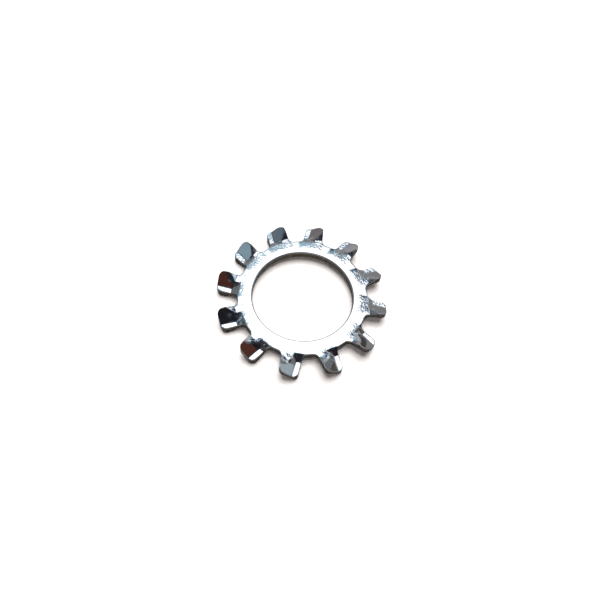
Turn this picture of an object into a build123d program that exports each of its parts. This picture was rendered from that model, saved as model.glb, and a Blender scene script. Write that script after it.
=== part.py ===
from build123d import *
from math import hypot, radians, tan
import os

# Toothed lock washer with external teeth, for an M10 screw. One stamped piece of spring steel.
# All sizes are in millimetres. The axis of the washer is Z, and the origin is on that axis, level with
# the lowest edges of the teeth, so the washer stands on the plane z = 0. One tooth points along +X.

# ---- ring ----
bore_d = 10.5            # clears the M10 screw
outer_d = 18.0           # across the tips of the teeth
root_d = 13.54           # across the bottoms of the gaps
thickness = 0.9          # of the strip that the washer is stamped from
bore_edge_r = 0.08       # rolled edge at both ends of the bore

# ---- outline of a tooth ----
tooth_count = 12
tooth_w = 2.16           # across a tooth, where it leaves the root circle
tooth_taper = 3.5        # degrees that each flank leans in towards the tip
tip_corner_r = 0.58      # rounded corners of the tip
gap_root_r = 0.55        # rounded corners at the bottom of a gap

# ---- twist of a tooth ----
# Seen from above, the clockwise side of each tooth is raised and the counterclockwise side is lowered.
# The press leaves a level strip on the upper face of the lowered side, and the same strip on the lower
# face of the raised side: a tooth looks the same when it is turned over about its own length.
flat_drop = 0.45         # level strip, below the face of the ring
edge_rise = 0.50         # raised edge, above the face of the ring
low_start = -0.12        # where the lowered side leaves the ring's face, outside the root circle
low_length = 0.69        # along the tooth, from there to the level strip
high_start = 0.35        # where the raised side leaves the ring's face
high_length = 0.95       # along the tooth, from there to the full twist
press_step = 0.01        # mark that the edge of the press leaves where either side begins
wedge_length = 0.45      # of the point of the ring's face that runs on between the two sides
wedge_w = 0.60           # across that wedge, where the level strip begins
crease_root = 0.52       # strip's inner border, from the middle of the tooth, where the strip begins
crease_tip = 0.34        # the same border at the tip

# ---- worked out from those ----
bore_r = bore_d / 2
outer_r = outer_d / 2
root_r = root_d / 2
half_root_w = tooth_w / 2
ring_bottom = edge_rise                     # the lowered edges hang this far below the ring
ring_top = ring_bottom + thickness
ring_middle = (ring_bottom + ring_top) / 2
strip_z = ring_top - flat_drop
total_h = thickness + 2 * edge_rise
low_x = root_r + low_start                  # distances along the tooth, from the axis
strip_x = low_x + low_length
high_x = root_r + high_start
twisted_x = high_x + high_length
wedge_x = strip_x + wedge_length
beyond_x = outer_r + 0.5                    # past the tip: the outline trims the rest
reach = low_x * tan(radians(180 / tooth_count))     # past the flanks, to halfway across the gaps


def flank(x):
    """Half the width of a tooth at distance x from the axis."""
    return half_root_w - (x - root_r) * tan(radians(tooth_taper))


def crease(x):
    """Distance of the strip's inner border from the middle of the tooth."""
    share = (x - strip_x) / (outer_r - strip_x)
    return crease_root + share * (crease_tip - crease_root)


def slope(x):
    """Steepness of the face between the strip's border and the raised edge."""
    return (edge_rise + flat_drop) / (crease(x) + flank(x))


def slope_z(x, y):
    """Height of that face at distance y from the middle of the tooth."""
    return strip_z + (crease(x) - y) * slope(x)


def done(x, start, end):
    """How much of a ramp from start to end is behind x, from 0 to 1."""
    return min(max((x - start) / (end - start), 0), 1)


def turned_over(points):
    """The same line on the other face of the tooth."""
    return [(-y, 2 * ring_middle - z) for y, z in points]


def low_z(x):
    """Height of the lowered side: it ramps down to the level strip."""
    return ring_top - press_step - (flat_drop - press_step) * done(x, low_x, strip_x)


def low_line(x):
    """Upper face across the tooth at x, while only the lowered side leaves the ring's face."""
    right = wedge_y + wedge_w / 2
    return [(-reach, ring_top), (right, ring_top), (crease(x), low_z(x)), (reach, low_z(x))]


def high_line(x):
    """Upper face across the tooth at x: rising side, wedge with a point at either border, lowered side."""
    half = wedge_w / 2 * (1 - 0.85 * done(x, strip_x, wedge_x))
    left, right = wedge_y - half, wedge_y + half
    left_z = slope_z(x, left) if x >= twisted_x else ring_top
    right_z = slope_z(x, right) if x >= wedge_x else ring_top
    edge_z = ring_top + press_step + (edge_rise - press_step) * done(x, high_x, twisted_x)
    outer_z = left_z + (edge_z - left_z) * (reach + left) / (flank(x) + left)
    return [(-reach, outer_z), (left, left_z), (right, right_z), (crease(x), low_z(x)), (reach, low_z(x))]


def twisted_line(x):
    """Upper face across the fully twisted tooth at x: one slope and the level strip."""
    return [(-reach, slope_z(x, -reach)), (crease(x), strip_z), (reach, strip_z)]


def across(x):
    """Plane across the tooth at distance x from the axis, with Y to its right and Z up."""
    return Plane(origin=(x, 0, 0), x_dir=(0, 1, 0), z_dir=(1, 0, 0))


# the slope meets the level of the ring's face here, and the wedge points at that place
wedge_y = crease(wedge_x) - flat_drop / slope(wedge_x)

# ---- blank: the flat outline that the first press cuts ----
with BuildSketch() as blank:
    Circle(root_r)
    with BuildSketch(mode=Mode.PRIVATE) as tooth_blank:
        with BuildLine():
            Polyline(
                (0, -flank(0)),
                (beyond_x, -flank(beyond_x)),
                (beyond_x, flank(beyond_x)),
                (0, flank(0)),
                close=True,
            )
        make_face()
    with PolarLocations(0, tooth_count):
        add(tooth_blank.sketch)
    Circle(outer_r, mode=Mode.INTERSECT)
    tips = [v for v in blank.vertices() if abs(hypot(v.X, v.Y) - outer_r) < 0.01]
    fillet(tips, tip_corner_r)
    roots = [v for v in blank.vertices() if abs(hypot(v.X, v.Y) - root_r) < 0.01]
    fillet(roots, gap_root_r)

# ---- one twisted tooth, wider and longer than its outline ----
with BuildPart() as tooth:
    for section, start, end in (
        (low_line, low_x, high_x),
        (high_line, high_x, strip_x),
        (high_line, strip_x, wedge_x),
        (high_line, wedge_x, twisted_x),
        (twisted_line, twisted_x, beyond_x),
    ):
        with BuildPart() as length:
            for place in (start, end):
                line = section(place)
                with BuildSketch(across(place)):
                    Polygon(*line, *turned_over(line), align=None)
            loft(ruled=True)
        add(length.part)

# ---- washer: flat ring, teeth set round it, all trimmed to the blank's outline ----
with BuildPart() as lock_washer:
    with BuildSketch(Plane.XY.offset(ring_bottom)):
        add(blank.sketch)
        RegularPolygon(
            low_x, tooth_count, major_radius=False, rotation=180 / tooth_count, mode=Mode.INTERSECT
        )
    extrude(amount=thickness)
    with PolarLocations(0, tooth_count):
        add(tooth.part)
    with BuildSketch(Plane.XY.offset(-thickness)):
        add(blank.sketch)
    extrude(amount=total_h + 2 * thickness, mode=Mode.INTERSECT)
    with BuildSketch(Plane.XY.offset(-thickness)):
        Circle(bore_r)
    extrude(amount=total_h + 2 * thickness, mode=Mode.SUBTRACT)
    circles = lock_washer.edges().filter_by(GeomType.CIRCLE)
    rims = [e for e in circles if abs(e.radius - bore_r) < 0.01]
    fillet(rims, bore_edge_r)

lock_washer.part.label = "lock_washer"
os.makedirs("parts", exist_ok=True)
export_step(lock_washer.part, "parts/lock_washer.step")
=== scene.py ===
from math import atan2, cos, exp, hypot, pi, radians, sin, sqrt, tan
from typing import NamedTuple

import bmesh
import bpy
import numpy as np
from mathutils import Matrix, Vector, geometry, noise

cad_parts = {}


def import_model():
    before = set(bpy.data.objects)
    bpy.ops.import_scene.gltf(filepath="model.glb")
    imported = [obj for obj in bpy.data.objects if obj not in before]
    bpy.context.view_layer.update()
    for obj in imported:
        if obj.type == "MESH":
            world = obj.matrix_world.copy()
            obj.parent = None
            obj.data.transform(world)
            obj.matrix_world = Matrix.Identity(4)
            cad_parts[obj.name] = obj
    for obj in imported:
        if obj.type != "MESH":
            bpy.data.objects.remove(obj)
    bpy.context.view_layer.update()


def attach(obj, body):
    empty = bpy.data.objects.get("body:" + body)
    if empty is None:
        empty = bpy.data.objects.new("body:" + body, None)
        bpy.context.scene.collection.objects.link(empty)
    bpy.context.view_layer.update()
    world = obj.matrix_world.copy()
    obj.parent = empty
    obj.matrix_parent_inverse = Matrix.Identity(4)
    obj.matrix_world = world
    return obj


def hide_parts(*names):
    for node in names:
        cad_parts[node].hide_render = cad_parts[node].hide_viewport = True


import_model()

MM = 0.001

# ---------------------------------------------------------------- sizes of the washer, in mm, as in the CAD
BORE_R = 5.25
OUTER_R = 9.0
ROOT_R = 6.77
THICKNESS = 0.9
TOOTH_COUNT = 12
TOOTH_W = 2.16
TAPER = radians(3.5)
TIP_CORNER_R = 0.58
GAP_ROOT_R = 0.55
FLAT_DROP = 0.45         # how far the strip along the lowered edge lies below the ring's face
EDGE_RISE = 0.50         # how far the raised edge stands above it
LOW_START = -0.12        # where the lowered side's ramp starts, past the root circle
LOW_LENGTH = 0.69
HIGH_START = 0.35        # the same for the raised side's ramp
HIGH_LENGTH = 0.95
WEDGE_LENGTH = 0.38      # a little shorter than the CAD's, as its creases are rounded here
WEDGE_W = 0.60
CREASE_ROOT = 0.52       # distance of the strip's crease from the middle line, at the root and at the tip
CREASE_TIP = 0.34

RING_BOTTOM = EDGE_RISE
RING_TOP = RING_BOTTOM + THICKNESS
LOW_X = ROOT_R + LOW_START
STRIP_X = LOW_X + LOW_LENGTH
HIGH_X = ROOT_R + HIGH_START
TWISTED_X = HIGH_X + HIGH_LENGTH
WEDGE_X = STRIP_X + WEDGE_LENGTH
BEYOND_X = OUTER_R + 0.5
HALF_TURN = pi / TOOTH_COUNT
REACH = LOW_X * tan(HALF_TURN)

# ---------------------------------------------------------------- fineness of the mesh, in mm
EDGE_R = 0.07            # rounding of the outline's edges
BORE_EDGE_R = 0.12       # rounding of the bore's rims, wider than in the CAD so that it catches the light
GRID = 0.075             # spacing of the points inside the outline
GRID_ROW = 0.87 * GRID   # spacing of its rows, for triangles with nearly equal sides
GRID_CLEARANCE = 0.55 * GRID
OUTLINE_STEP = 0.07
EDGE_ROWS = 4            # rows of faces in each rounding
WALL_ROWS = 7            # rows of faces down each wall
SLIVER = 1e-6            # area below which a triangle is left out, in mm2
TINY = 1e-6              # smallest length to divide by
CDT_EPSILON = 1e-7
MERGE_DISTANCE = 2e-7    # in metres

# ---------------------------------------------------------------- how the press has softened the folds, in mm
SOFT_STEP = 0.045        # spacing of the samples that round the creases
SOFT_REACH = 2           # samples to each side
SOFT_WIDTH = 0.055
WEDGE_TILT = 0.13        # slight lean of the wedge towards the lowered side
WEDGE_NARROWS = 0.85     # share of its width that the wedge loses along its length
DIP = 0.062              # shallow dip of the ring's face before the lowered side's ramp
DIP_LEAST = 0.6          # share of it that every tooth has
DIP_MORE = 0.85          # share that grows with the press's marks
DIP_START = 5.70         # radius where it starts, and distances along the tooth where it is deepest and gone
DIP_END = 6.72
DIP_GONE = 7.34
DIP_IN = (-0.85, 0.10)   # where it fades in and out across the tooth
DIP_OUT = (0.90, 1.60)
SOFT_CORNER_Y = (0.2, 1.0)    # where the raised corner is worn, as a share of the half width
SOFT_CORNER_X = (7.9, 9.0)    # and along the tooth

# marks that the press left: where they fade in and out, by radius, across the root, and on the strip
MARKS_IN = (5.6, 6.2)
MARKS_OUT = (7.1, 7.7)
MARKS_SIDE = (0.7, 1.3)
STRIP_MARKS_X = (6.8, 7.4)
STRIP_MARKS_Y = (0.3, 0.6)
STRIP_MARKS = 0.7        # their strength on the strip
RIPPLE = 0.007           # height of the ripples
RIPPLE_SIZE = 0.34       # length of one of them
RIPPLE_SLICE = 7.3       # distance between the teeth's samples in the noise
WANDER = 0.026           # height of the long unevenness of a twisted face
WANDER_RATE = 0.9        # its waves in one mm
WANDER_IN = (6.9, 7.8)
WANDER_SLICE = 3.1
WANDER_OFFSET = 50       # keeps its part of the noise apart from the ripples'


class Tooth(NamedTuple):
    """How one tooth differs from the others."""

    twist: float         # compared with the others
    lost: float          # length lost at the tip
    softness: float      # wear of the raised corner
    depth: float         # of the marks that the press left
    shift: float         # of the creases, sideways
    wedge: float         # how much of the wedge is left
    late: float          # how much later the lowered side's ramp starts


# the first tooth points along +X, and the others follow it counterclockwise
TEETH = [
    Tooth(1.00, 0.17, 0.02, 1.00, 0.02, 0.2, 0.28),
    Tooth(0.98, 0.20, 0.04, 1.00, 0.03, 0.3, 0.22),
    Tooth(1.02, 0.13, 0.12, 0.75, -0.01, 0.2, 0.20),
    Tooth(1.00, 0.15, 0.16, 0.55, 0.00, 0.2, 0.20),
    Tooth(1.00, 0.09, 0.14, 0.55, -0.03, 0.0, 0.20),
    Tooth(1.02, 0.04, 0.03, 0.45, -0.05, 0.0, 0.22),
    Tooth(1.00, 0.00, 0.00, 0.30, 0.00, 0.4, 0.0),
    Tooth(1.01, 0.00, 0.00, 0.35, 0.01, 0.4, 0.0),
    Tooth(0.99, 0.08, 0.02, 0.40, 0.00, 0.6, 0.0),
    Tooth(1.00, 0.00, 0.00, 0.20, 0.01, 1.0, 0.0),
    Tooth(0.98, 0.00, 0.02, 0.35, 0.00, 0.6, 0.0),
    Tooth(1.00, 0.02, 0.02, 0.45, -0.01, 0.4, 0.0),
]


# ---------------------------------------------------------------- faces of one tooth, along +X
def smooth(value, start, end):
    """0 before the start and 1 after the end, with a smooth step between them."""
    s = np.clip((value - start) / (end - start), 0, 1)
    return s * s * (3 - 2 * s)


def flank(x):
    """Half the width of the tooth."""
    return TOOTH_W / 2 - (x - ROOT_R) * tan(TAPER)


def crease(x):
    """Distance from the middle line of the crease between the sloping face and the strip."""
    share = (x - STRIP_X) / (OUTER_R - STRIP_X)
    return CREASE_ROOT + share * (CREASE_TIP - CREASE_ROOT)


def slope(x):
    """Rise of the sloping face across the tooth."""
    return (EDGE_RISE + FLAT_DROP) / (crease(x) + flank(x))


def slope_z(x, y):
    """Height of the sloping face."""
    return -FLAT_DROP + (crease(x) - y) * slope(x)


def done(x, start, end):
    """Share of the way from the start to the end."""
    return min(max((x - start) / (end - start), 0), 1)


WEDGE_Y = crease(WEDGE_X) - FLAT_DROP / slope(WEDGE_X)


def line_across(x):
    """Upper face across the tooth, above the ring's face: rising side, wedge, lowered side."""
    half = WEDGE_W / 2 * (1 - WEDGE_NARROWS * done(x, STRIP_X, WEDGE_X))
    left, right = WEDGE_Y - half, WEDGE_Y + half
    tilt = WEDGE_TILT * done(x, LOW_X, STRIP_X)
    left_z = slope_z(x, left) if x >= TWISTED_X else tilt * half
    right_z = slope_z(x, right) if x >= WEDGE_X else -tilt * half
    edge_z = EDGE_RISE * done(x, HIGH_X, TWISTED_X)
    outer_z = left_z + (edge_z - left_z) * (REACH + left) / (flank(x) + left)
    low_z = -FLAT_DROP * done(x, LOW_X, STRIP_X)
    return [(-REACH, outer_z), (left, left_z), (right, right_z), (crease(x), low_z), (REACH, low_z)]


STATIONS = np.array([LOW_X, HIGH_X, STRIP_X, WEDGE_X, TWISTED_X, BEYOND_X])
LINES = np.array([line_across(x) for x in STATIONS])


def plain_height(x, y, late):
    """The folded face of a tooth without a wedge: the twisted face, held back by the two ramps."""
    low_x = LOW_X + late
    along = np.maximum(x, low_x)
    low = -FLAT_DROP * np.clip((x - low_x) / (STRIP_X - low_x), 0, 1)
    high = EDGE_RISE * np.maximum((x - HIGH_X) / (TWISTED_X - HIGH_X), 0)
    return np.clip(slope_z(along, y), low, high)


def wedge_height(x, y):
    """The folded face with the whole wedge, as in the CAD."""
    i = np.clip(np.searchsorted(STATIONS, x, "right") - 1, 0, len(STATIONS) - 2)
    s = np.clip((x - STATIONS[i]) / (STATIONS[i + 1] - STATIONS[i]), 0, 1)[:, None, None]
    nodes = LINES[i] * (1 - s) + LINES[i + 1] * s
    height = np.where(y < 0, nodes[:, 0, 1], nodes[:, -1, 1])
    for k in range(LINES.shape[1] - 1):
        y0, y1 = nodes[:, k, 0], nodes[:, k + 1, 0]
        share = (y - y0) / np.maximum(y1 - y0, TINY)
        there = (share >= 0) & (share <= 1)
        height = np.where(there, nodes[:, k, 1] * (1 - share) + nodes[:, k + 1, 1] * share, height)
    return np.where(x < LOW_X, 0, height)


def top_height(x, y, wedge, late, deep):
    """Upper face above the ring's face, with its creases rounded and a dip before the ramp."""
    total, weights = np.zeros_like(x), 0
    steps = range(-SOFT_REACH, SOFT_REACH + 1)
    for i in steps:
        for j in steps:
            dx, dy = i * SOFT_STEP, j * SOFT_STEP
            weight = exp(-(dx * dx + dy * dy) / (2 * SOFT_WIDTH ** 2))
            sharp = wedge * wedge_height(x + dx, y + dy) + (1 - wedge) * plain_height(x + dx, y + dy, late)
            total += weight * sharp
            weights += weight
    r = np.hypot(x, y)
    end = DIP_END + late
    dip = np.clip((r - DIP_START) / (end - DIP_START), 0, 1) ** 2 * (1 - smooth(x, end, DIP_GONE))
    return total / weights - deep * dip * smooth(y, *DIP_IN) * (1 - smooth(y, *DIP_OUT))


def pressed(x, y):
    """Where the press has squeezed the root of a tooth, from 0 to 1."""
    r = np.hypot(x, y)
    root = smooth(r, *MARKS_IN) * (1 - smooth(r, *MARKS_OUT)) * (1 - smooth(abs(y), *MARKS_SIDE))
    strip = smooth(x, *STRIP_MARKS_X) * smooth(y, *STRIP_MARKS_Y)
    return np.maximum(root, STRIP_MARKS * strip)


def ripple(x, y, tooth):
    """Uneven places at the root of a tooth, left by the press."""
    z = RIPPLE_SLICE * tooth
    waves = [noise.noise(Vector((a / RIPPLE_SIZE, b / RIPPLE_SIZE, z))) for a, b in zip(x, y)]
    return pressed(x, y) * np.array(waves)


def wander(x, y, tooth):
    """Long shallow unevenness of the twisted part."""
    z = WANDER_SLICE * tooth + WANDER_OFFSET
    waves = [noise.noise(Vector((a * WANDER_RATE, b * WANDER_RATE, z))) for a, b in zip(x, y)]
    return smooth(x, *WANDER_IN) * np.array(waves)


# ---------------------------------------------------------------- outline of one twelfth of the washer
def arc(cx, cy, r, a0, a1, step):
    """Points on an arc, without its last one."""
    n = max(2, int(abs(a1 - a0) * r / step) + 1)
    return [(cx + r * cos(a0 + (a1 - a0) * i / n), cy + r * sin(a0 + (a1 - a0) * i / n)) for i in range(n)]


def line(p, q, step):
    """Points on a straight line, without its last one."""
    n = max(1, int(hypot(q[0] - p[0], q[1] - p[1]) / step))
    return [(p[0] + (q[0] - p[0]) * i / n, p[1] + (q[1] - p[1]) * i / n) for i in range(n)]


def half_outline():
    """From the middle of the tip round the counterclockwise flank to the middle of the gap."""
    across = (sin(TAPER), cos(TAPER))       # outward from the flank
    along = (cos(TAPER), -sin(TAPER))       # towards the tip
    flank_far = across[0] * ROOT_R + across[1] * TOOTH_W / 2
    a = flank_far - TIP_CORNER_R
    s = sqrt((OUTER_R - TIP_CORNER_R) ** 2 - a * a)
    tip = (a * across[0] + s * along[0], a * across[1] + s * along[1])
    b = flank_far + GAP_ROOT_R
    s = sqrt((ROOT_R + GAP_ROOT_R) ** 2 - b * b)
    gap = (b * across[0] + s * along[0], b * across[1] + s * along[1])
    tip_a = atan2(tip[1], tip[0])
    gap_a = atan2(gap[1], gap[0])
    flank_a = atan2(across[1], across[0])
    gap_end = gap_a + pi + 2 * pi * (gap_a + pi < flank_a)
    pts = arc(0, 0, OUTER_R, 0, tip_a, OUTLINE_STEP)
    pts += arc(tip[0], tip[1], TIP_CORNER_R, tip_a, flank_a, OUTLINE_STEP)
    p = (tip[0] + TIP_CORNER_R * across[0], tip[1] + TIP_CORNER_R * across[1])
    q = (gap[0] - GAP_ROOT_R * across[0], gap[1] - GAP_ROOT_R * across[1])
    pts += line(p, q, OUTLINE_STEP)
    pts += arc(gap[0], gap[1], GAP_ROOT_R, flank_a + pi, gap_end, OUTLINE_STEP)
    pts += arc(0, 0, ROOT_R, gap_a, HALF_TURN, OUTLINE_STEP)
    pts.append((ROOT_R * cos(HALF_TURN), ROOT_R * sin(HALF_TURN)))
    return pts


def sector_outline():
    """Clockwise gap to counterclockwise gap, with outward normals."""
    half = half_outline()
    pts = [(x, -y) for x, y in half[:0:-1]] + half
    p = np.array(pts)
    t = np.gradient(p, axis=0)
    t /= np.linalg.norm(t, axis=1)[:, None]
    n = np.stack([t[:, 1], -t[:, 0]], axis=1)
    for end in (0, -1):
        n[end] = p[end] / np.linalg.norm(p[end])
    return p, n


# ---------------------------------------------------------------- mesh of one twelfth
def inside(points, loop):
    """Which points lie in the closed loop."""
    x, y = points[:, 0], points[:, 1]
    hit = np.zeros(len(points), bool)
    for (x0, y0), (x1, y1) in zip(loop, np.roll(loop, -1, axis=0)):
        if y0 == y1:
            continue
        cross = (y0 > y) != (y1 > y)
        hit ^= cross & (x < (x1 - x0) * (y - y0) / (y1 - y0) + x0)
    return hit


def distance(points, loop):
    """Distance from each point to the closed loop."""
    best = np.full(len(points), np.inf)
    for a, b in zip(loop, np.roll(loop, -1, axis=0)):
        ab = b - a
        t = np.clip(((points - a) @ ab) / max(ab @ ab, TINY ** 2), 0, 1)
        best = np.minimum(best, np.linalg.norm(points - a - t[:, None] * ab, axis=1))
    return best


def plan_mesh():
    """Points of the sector seen from above, how far each is let down by an edge's rounding, the faces that
    join them, and the rows of points at the outline and at the bore.
    """
    outline, normal = sector_outline()
    arc_n = int(2 * HALF_TURN * BORE_R / OUTLINE_STEP)
    angles = np.linspace(-HALF_TURN, HALF_TURN, arc_n + 1)
    ring = np.stack([np.cos(angles), np.sin(angles)], axis=1)

    pts, drops, faces = [], [], []

    def add(p, drop):
        """Add a row of points and return their numbers."""
        start = sum(len(q) for q in pts)
        pts.append(np.asarray(p, float))
        drops.append(np.broadcast_to(drop, len(p)).astype(float))
        return list(range(start, start + len(p)))

    def bridge(a, b):
        """Fill the band between two rows with quads."""
        for i in range(len(a) - 1):
            faces.append((a[i], a[i + 1], b[i + 1], b[i]))

    tilts = [pi / 2 * (1 - k / EDGE_ROWS) for k in range(EDGE_ROWS + 1)]
    rows = []
    for tilt in tilts:
        rows.append(add(outline - EDGE_R * (1 - sin(tilt)) * normal, EDGE_R * (1 - cos(tilt))))
    for a, b in zip(rows, rows[1:]):
        bridge(b, a)
    bore_rows = []
    for tilt in tilts:
        bore_rows.append(add(ring * (BORE_R + BORE_EDGE_R * (1 - sin(tilt))), BORE_EDGE_R * (1 - cos(tilt))))
    for a, b in zip(bore_rows, bore_rows[1:]):
        bridge(a, b)

    side_n = int((ROOT_R - EDGE_R - BORE_R - BORE_EDGE_R) / GRID)
    radii = np.linspace(BORE_R + BORE_EDGE_R, ROOT_R - EDGE_R, side_n + 1)[1:-1]
    left = add(radii[:, None] * ring[0], 0)
    right = add(radii[:, None] * ring[-1], 0)
    border = rows[-1] + right[::-1] + bore_rows[-1][::-1] + left
    every = np.concatenate(pts)
    loop = every[border]

    xs = np.arange(BORE_R * cos(HALF_TURN), OUTER_R, GRID)
    ys = np.arange(-ROOT_R * sin(HALF_TURN), ROOT_R * sin(HALF_TURN) + GRID, GRID_ROW)
    grid = np.array([(x + GRID / 2 * (j % 2), y) for j, y in enumerate(ys) for x in xs])
    grid = grid[inside(grid, loop)]
    grid = grid[distance(grid, loop) > GRID_CLEARANCE]
    middle = add(grid, 0)

    ids = border + middle
    coords = [Vector(every[i]) for i in border] + [Vector(p) for p in grid]
    n = len(border)
    edges = [(i, (i + 1) % n) for i in range(n)]
    made = geometry.delaunay_2d_cdt(coords, edges, [list(range(n))], 1, CDT_EPSILON, True)
    back = [ids[o[0]] for o in made[3]]
    every = np.concatenate(pts)
    triangles = np.array([[back[i] for i in f] for f in made[2]])
    a, b, c = (every[triangles[:, i]] for i in range(3))
    area = (b[:, 0] - a[:, 0]) * (c[:, 1] - a[:, 1]) - (b[:, 1] - a[:, 1]) * (c[:, 0] - a[:, 0])
    kept = inside((a + b + c) / 3, loop) & (abs(area) > SLIVER)
    for f, turn in zip(triangles[kept].tolist(), area[kept]):
        faces.append(tuple(f if turn > 0 else reversed(f)))
    return every, np.concatenate(drops), faces, rows[0], bore_rows[0]


def washer_mesh():
    """Points and faces of the whole washer, whether each face is a cut wall and whether it is in the bore,
    and the strength of the press's marks at each point.
    """
    plan, drop, faces, rim, bore_rim = plan_mesh()
    x, y = plan[:, 0], plan[:, 1]
    count = len(plan)
    polys = list(faces) + [tuple(i + count for i in reversed(f)) for f in faces]
    cut = [0.0] * len(polys)
    bore = [0.0] * len(polys)
    walls = []
    start = 2 * count
    for row, flip in ((rim, False), (bore_rim, True)):
        above = row
        for k in range(1, WALL_ROWS + 1):
            if k == WALL_ROWS:
                below = [i + count for i in row]
            else:
                below = list(range(start, start + len(row)))
                start += len(row)
                walls.append((row, k / WALL_ROWS))
            for i in range(len(row) - 1):
                quad = (above[i], below[i], below[i + 1], above[i + 1])
                polys.append(quad[::-1] if flip else quad)
                cut.append(1.0)
                bore.append(1.0 if flip else 0.0)
            above = below

    all_pts, all_polys, all_marks = [], [], []
    for i, tooth in enumerate(TEETH):
        move = tooth.shift * smooth(x, ROOT_R, OUTER_R)
        deep = DIP * (DIP_LEAST + DIP_MORE * tooth.depth)
        upper = RING_TOP + tooth.twist * top_height(x, y - move, tooth.wedge, tooth.late, deep) - drop
        lower = RING_BOTTOM - tooth.twist * top_height(x, -y + move, tooth.wedge, tooth.late, deep) + drop
        bumps = RIPPLE * tooth.depth * ripple(x, y, i) + WANDER * wander(x, y, i)
        worn = tooth.softness * smooth(-y / flank(x), *SOFT_CORNER_Y) * smooth(x, *SOFT_CORNER_X)
        px = x - tooth.lost * np.clip((x - ROOT_R) / (OUTER_R - ROOT_R), 0, 1) - worn
        top = np.stack([px, y, upper + bumps], axis=1)
        low = np.stack([px, y, lower + bumps], axis=1)
        sector = np.concatenate([top, low] + [top[row] * (1 - s) + low[row] * s for row, s in walls])
        marks = tooth.depth * pressed(x, y)
        all_marks += [marks, marks] + [marks[row] for row, s in walls]
        a = 2 * pi * i / TOOTH_COUNT
        turn = np.array([[cos(a), sin(a), 0], [-sin(a), cos(a), 0], [0, 0, 1]])
        all_pts.append(sector @ turn)
        all_polys += [tuple(v + i * len(sector) for v in f) for f in polys]
    every, marks = np.concatenate(all_pts), np.concatenate(all_marks)
    return every, all_polys, cut * TOOTH_COUNT, bore * TOOTH_COUNT, marks


def build_washer(material):
    """The washer as one object, with its walls, bore and press marks stored as attributes."""
    points, polys, cut, bore, marks = washer_mesh()
    mesh = bpy.data.meshes.new("washer")
    mesh.from_pydata((points * MM).tolist(), [], polys)
    mesh.attributes.new("cut", "FLOAT", "FACE").data.foreach_set("value", cut)
    mesh.attributes.new("bore", "FLOAT", "FACE").data.foreach_set("value", bore)
    mesh.attributes.new("pressed", "FLOAT", "POINT").data.foreach_set("value", marks)
    bm = bmesh.new()
    bm.from_mesh(mesh)
    bmesh.ops.remove_doubles(bm, verts=bm.verts, dist=MERGE_DISTANCE)
    bmesh.ops.recalc_face_normals(bm, faces=bm.faces)
    bm.to_mesh(mesh)
    bm.free()
    mesh.shade_smooth()
    obj = bpy.data.objects.new("lock_washer_body", mesh)
    bpy.context.scene.collection.objects.link(obj)
    mesh.materials.append(material)
    return obj


# ---------------------------------------------------------------- material
PLATING = [              # stops of the colour ramps, from the low places of the noise to the high ones
    (0.30, (0.74, 0.77, 0.83)),
    (0.50, (0.81, 0.83, 0.86)),
    (0.70, (0.84, 0.82, 0.80)),
]
BARE_WALL = [
    (0.30, (0.080, 0.068, 0.058)),
    (0.52, (0.300, 0.265, 0.235)),
    (0.74, (0.620, 0.590, 0.550)),
]
BORE_WALL = [
    (0.30, (0.120, 0.105, 0.075)),
    (0.50, (0.330, 0.300, 0.230)),
    (0.70, (0.520, 0.490, 0.410)),
]
STAINS = (900, 4.0, 0.6)             # scale for one metre, detail and roughness of each noise
GRAIN = (7000, 3.0, 0.6)
TRACKS = (1.0, 4.0, 0.65)
WAVES = (2600, 3.0, 0.5)
PRESS_MARKS = (4200, 1.5, 0.6)
TRACK_STRETCH = (9000, 9000, 900)    # shear marks run along the wall's height
GRAIN_HEIGHT = 0.5e-6                # in metres, as are the next two
WAVE_HEIGHT = 1.2e-6
MARK_HEIGHT = 68e-6
NOISE_SPAN = (0.3, 0.7)
FACE_ROUGHNESS = (0.07, 0.15)
WALL_ROUGHNESS = (0.38, 0.55)


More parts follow.
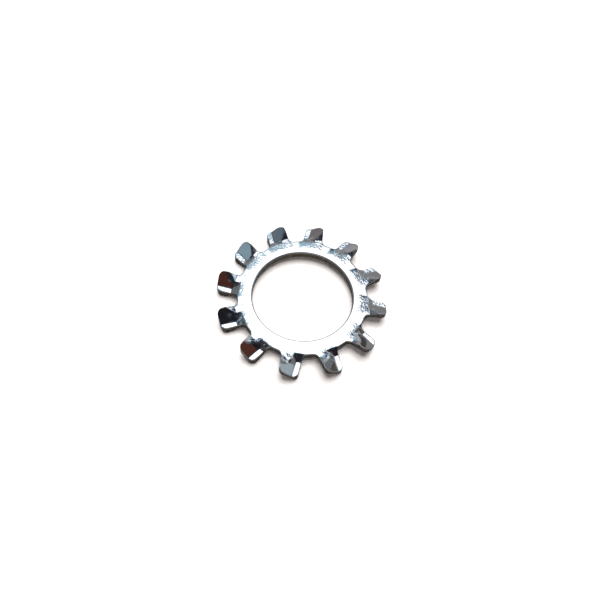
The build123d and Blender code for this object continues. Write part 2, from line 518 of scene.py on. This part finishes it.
class Nodes:
    """Short ways to add shader nodes to one tree."""

    def __init__(self, tree):
        self.tree = tree

    def new(self, kind):
        return self.tree.nodes.new(kind)

    def link(self, a, b):
        self.tree.links.new(a, b)

    def noise(self, vector, scale, detail, rough):
        n = self.new("ShaderNodeTexNoise")
        n.inputs["Scale"].default_value = scale
        n.inputs["Detail"].default_value = detail
        n.inputs["Roughness"].default_value = rough
        self.link(vector, n.inputs["Vector"])
        return n.outputs["Fac"]

    def attribute(self, name):
        a = self.new("ShaderNodeAttribute")
        a.attribute_name = name
        return a.outputs["Fac"]

    def times(self, a, b):
        m = self.new("ShaderNodeMath")
        m.operation = "MULTIPLY"
        self.link(a, m.inputs[0])
        self.link(b, m.inputs[1])
        return m.outputs["Value"]

    def stretch(self, vector, scale):
        m = self.new("ShaderNodeMapping")
        m.inputs["Scale"].default_value = scale
        self.link(vector, m.inputs["Vector"])
        return m.outputs["Vector"]

    def span(self, value, start, end, low, high):
        m = self.new("ShaderNodeMapRange")
        m.inputs["From Min"].default_value = start
        m.inputs["From Max"].default_value = end
        m.inputs["To Min"].default_value = low
        m.inputs["To Max"].default_value = high
        self.link(value, m.inputs["Value"])
        return m.outputs["Result"]

    def ramp(self, value, stops):
        r = self.new("ShaderNodeValToRGB")
        while len(r.color_ramp.elements) < len(stops):
            r.color_ramp.elements.new(0.5)
        for e, (place, rgb) in zip(r.color_ramp.elements, stops):
            e.position = place
            e.color = (*rgb, 1)
        self.link(value, r.inputs["Fac"])
        return r.outputs["Color"]

    def mix(self, factor, a, b, kind="RGBA"):
        m = self.new("ShaderNodeMix")
        m.data_type = kind
        self.link(factor, m.inputs[0])
        offset = {"FLOAT": 2, "RGBA": 6}[kind]
        self.link(a, m.inputs[offset])
        self.link(b, m.inputs[offset + 1])
        return m.outputs[{"FLOAT": 0, "RGBA": 2}[kind]]

    def bump(self, height, depth, normal=None):
        b = self.new("ShaderNodeBump")
        b.inputs["Strength"].default_value = 1.0
        b.inputs["Distance"].default_value = depth
        self.link(height, b.inputs["Height"])
        if normal is not None:
            self.link(normal, b.inputs["Normal"])
        return b.outputs["Normal"]


def zinc():
    """Bright zinc plating on the pressed faces, and darker, rougher metal on the cut walls."""
    mat = bpy.data.materials.new("zinc_plated_steel")
    mat.use_nodes = True
    n = Nodes(mat.node_tree)
    shader = mat.node_tree.nodes["Principled BSDF"]
    place = n.new("ShaderNodeTexCoord").outputs["Object"]
    wall, bore, marks = n.attribute("cut"), n.attribute("bore"), n.attribute("pressed")

    stains = n.noise(place, *STAINS)
    grain = n.noise(place, *GRAIN)
    tracks = n.noise(n.stretch(place, TRACK_STRETCH), *TRACKS)
    plating = n.ramp(stains, PLATING)
    bare = n.ramp(tracks, BARE_WALL)
    burnished = n.ramp(tracks, BORE_WALL)
    walls = n.mix(bore, bare, burnished)
    n.link(n.mix(wall, plating, walls), shader.inputs["Base Color"])
    face_rough = n.span(grain, *NOISE_SPAN, *FACE_ROUGHNESS)
    wall_rough = n.span(tracks, *NOISE_SPAN, *WALL_ROUGHNESS)
    n.link(n.mix(wall, face_rough, wall_rough, "FLOAT"), shader.inputs["Roughness"])
    shader.inputs["Metallic"].default_value = 1.0
    normal = n.bump(n.noise(place, *WAVES), WAVE_HEIGHT)
    normal = n.bump(n.times(n.noise(place, *PRESS_MARKS), marks), MARK_HEIGHT, normal)
    normal = n.bump(grain, GRAIN_HEIGHT, normal)
    n.link(normal, shader.inputs["Normal"])
    return mat


# ---------------------------------------------------------------- floor, light and camera
FLOOR_R = 0.16
FLOOR_SIDES = 96
FLOOR_COLOUR = (0.60, 0.59, 0.58)
FLOOR_SHOWN = (3.8, 3.66, 3.56)      # seen by the camera: white under a soft lamp, with only the shadows left
FLOOR_ROUGHNESS = 0.9


def floor():
    """A white floor under the washer, which keeps its shadow."""
    mat = bpy.data.materials.new("floor_white")
    mat.use_nodes = True
    nt = mat.node_tree
    b = nt.nodes["Principled BSDF"]
    b.inputs["Roughness"].default_value = FLOOR_ROUGHNESS
    b.inputs["Specular IOR Level"].default_value = 0.0
    path = nt.nodes.new("ShaderNodeLightPath")
    mix = nt.nodes.new("ShaderNodeMix")
    mix.data_type = "RGBA"
    mix.inputs["A"].default_value = (*FLOOR_COLOUR, 1)
    mix.inputs["B"].default_value = (*FLOOR_SHOWN, 1)
    nt.links.new(path.outputs["Is Camera Ray"], mix.inputs["Factor"])
    nt.links.new(mix.outputs["Result"], b.inputs["Base Color"])
    mesh = bpy.data.meshes.new("floor")
    angles = [2 * pi * i / FLOOR_SIDES for i in range(FLOOR_SIDES)]
    rim = [(FLOOR_R * cos(a), FLOOR_R * sin(a), 0) for a in angles]
    mesh.from_pydata(rim, [], [list(range(FLOOR_SIDES))])
    obj = bpy.data.objects.new("floor", mesh)
    bpy.context.scene.collection.objects.link(obj)
    mesh.materials.append(mat)


def direction(azimuth, elevation):
    """Unit vector. Azimuth 0 is +X, 90 is +Y, away from the camera."""
    a, e = radians(azimuth), radians(elevation)
    return (cos(a) * cos(e), sin(a) * cos(e), sin(e))


BASE_SKY = (0.16, 0.17, 0.18)
# The room that the metal mirrors: azimuth, elevation, radius of the full colour and radius where it ends, in
# degrees, and colour. Each row lies over those before it.
SKY = [
    (-90, 20, 45, 70, (0.025, 0.022, 0.022)),      # dark room in front
    (-90, 2, 20, 40, (0.60, 0.57, 0.54)),          # and its lit foot
    (-60, 64, 26, 38, (0.016, 0.020, 0.028)),      # dark ceiling
    (-30, 48, 18, 34, (0.012, 0.012, 0.016)),
    (175, 64, 8, 14, (0.020, 0.022, 0.026)),
    (-165, 43, 9, 15, (0.25, 0.36, 0.42)),         # pale wall on the left
    (171, 32, 6, 14, (0.13, 0.17, 0.20)),
    (155, 44, 4, 10, (0.060, 0.055, 0.060)),       # dark things before it
    (168, 39, 3, 6, (0.030, 0.030, 0.035)),
    (-160, 52, 3, 7, (0.035, 0.022, 0.016)),
    (146, 16, 8, 20, (0.20, 0.17, 0.17)),
    (151, 22, 4, 8, (0.14, 0.18, 0.19)),
    (-178, 26, 7, 11, (0.030, 0.035, 0.040)),
    (118, 6, 10, 20, (0.36, 0.34, 0.35)),          # grey wall at the back
    (88, 2, 14, 26, (0.30, 0.30, 0.30)),
    (48, 7, 5, 12, (0.16, 0.165, 0.17)),
    (70, 24, 8, 18, (0.44, 0.46, 0.47)),
    (24, 21, 7, 14, (0.37, 0.43, 0.46)),
    (46, 44, 9, 17, (0.80, 0.86, 0.92)),
    (-10, 37, 8, 14, (0.090, 0.030, 0.021)),       # wooden furniture
    (-112, 51, 7, 12, (0.068, 0.023, 0.016)),
    (-112, 61, 3, 7, (0.090, 0.110, 0.115)),
    (-50, 58, 3, 8, (0.070, 0.080, 0.085)),
    (10, 63, 9, 15, (0.030, 0.035, 0.045)),
    (-80, 84, 6, 14, (0.035, 0.045, 0.065)),
    (92, 67, 17, 23, (0.33, 0.55, 0.70)),          # sky round the bright window
    (97, 43, 8, 15, (0.34, 0.50, 0.60)),
    (69, 48, 9, 15, (0.012, 0.04, 0.09)),
    (92, 68, 11.0, 16.5, (1.7, 1.7, 1.7)),         # bright window
]
DIFFUSE_SKY = (0.020, 0.015, 0.013)      # what the room adds to the floor's light, so that shadows stay dark


def world():
    """A room whose colour depends on the direction, and plain white where the camera looks past the floor."""
    w = bpy.data.worlds.new("studio")
    bpy.context.scene.world = w
    w.use_nodes = True
    nt = w.node_tree
    nt.nodes.clear()
    out = nt.nodes.new("ShaderNodeOutputWorld")
    back = nt.nodes.new("ShaderNodeBackground")
    nt.links.new(back.outputs[0], out.inputs["Surface"])
    coord = nt.nodes.new("ShaderNodeTexCoord")
    colour = None

    def blob(previous, azimuth, elevation, inner, outer, rgb):
        dot = nt.nodes.new("ShaderNodeVectorMath")
        dot.operation = "DOT_PRODUCT"
        dot.inputs[1].default_value = direction(azimuth, elevation)
        nt.links.new(coord.outputs["Generated"], dot.inputs[0])
        ramp = nt.nodes.new("ShaderNodeMapRange")
        ramp.interpolation_type = "SMOOTHSTEP"
        ramp.inputs["From Min"].default_value = cos(radians(outer))
        ramp.inputs["From Max"].default_value = cos(radians(inner))
        nt.links.new(dot.outputs["Value"], ramp.inputs["Value"])
        mix = nt.nodes.new("ShaderNodeMix")
        mix.data_type = "RGBA"
        nt.links.new(ramp.outputs["Result"], mix.inputs["Factor"])
        mix.inputs["B"].default_value = (*rgb, 1)
        if previous is None:
            mix.inputs["A"].default_value = (*BASE_SKY, 1)
        else:
            nt.links.new(previous, mix.inputs["A"])
        return mix.outputs["Result"]

    for spec in SKY:
        colour = blob(colour, *spec)
    path = nt.nodes.new("ShaderNodeLightPath")
    for kind, rgb in (("Is Diffuse Ray", DIFFUSE_SKY), ("Is Camera Ray", (1, 1, 1))):
        mix = nt.nodes.new("ShaderNodeMix")
        mix.data_type = "RGBA"
        nt.links.new(path.outputs[kind], mix.inputs["Factor"])
        nt.links.new(colour, mix.inputs["A"])
        mix.inputs["B"].default_value = (*rgb, 1)
        colour = mix.outputs["Result"]
    nt.links.new(colour, back.inputs["Color"])


LAMP_DIRECTION = (92, 72)    # azimuth and elevation, the side of the bright window
LAMP_DISTANCE = 0.5
LAMP_SIZE = 0.50
LAMP_ENERGY = 1.1


def lamp():
    """A large soft lamp, which the metal doesn't mirror."""
    light = bpy.data.lights.new("softbox", "AREA")
    light.energy = LAMP_ENERGY
    light.shape = "DISK"
    light.size = LAMP_SIZE
    obj = bpy.data.objects.new("softbox", light)
    bpy.context.scene.collection.objects.link(obj)
    d = Vector(direction(*LAMP_DIRECTION))
    obj.location = d * LAMP_DISTANCE
    obj.rotation_mode = "QUATERNION"
    obj.rotation_quaternion = d.to_track_quat("Z", "Y")
    obj.visible_glossy = False


CAMERA_DISTANCE = 57.75   # from the middle of the ring's upper face
CAMERA_ELEVATION = 59.9
CAMERA_AZIMUTH = -87.34
CAMERA_ROLL = 7.39
LENS = 32.96
SENSOR = 36
CENTRE_PIXEL = (302.8, 294.7)    # where the middle of the ring's upper face falls
IMAGE = 608
CLIP_START = 0.005
CLIP_END = 2


def camera():
    """A close camera, turned so that the middle of the ring's upper face falls on its pixel."""
    data = bpy.data.cameras.new("camera")
    data.lens = LENS
    data.sensor_width = SENSOR
    data.clip_start = CLIP_START
    data.clip_end = CLIP_END
    obj = bpy.data.objects.new("camera", data)
    bpy.context.scene.collection.objects.link(obj)
    away = Vector(direction(CAMERA_AZIMUTH, CAMERA_ELEVATION))
    centre = Vector((0, 0, RING_TOP * MM))
    ahead = -away
    right = ahead.cross(Vector((0, 0, 1))).normalized()
    up = right.cross(ahead)
    roll = radians(CAMERA_ROLL)
    right, up = right * cos(roll) + up * sin(roll), up * cos(roll) - right * sin(roll)
    level = Matrix((right, up, away)).transposed()
    focal = LENS / SENSOR * IMAGE
    seen = Vector((CENTRE_PIXEL[0] - IMAGE / 2, IMAGE / 2 - CENTRE_PIXEL[1], -focal)).normalized()
    aim = seen.rotation_difference(Vector((0, 0, -1))).to_matrix()
    obj.matrix_world = Matrix.Translation(centre + away * CAMERA_DISTANCE * MM) @ (level @ aim).to_4x4()
    bpy.context.scene.camera = obj


washer = build_washer(zinc())
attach(washer, "root")
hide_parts("lock_washer")
floor()
world()
lamp()
camera()
bpy.context.scene.view_settings.view_transform = "Standard"
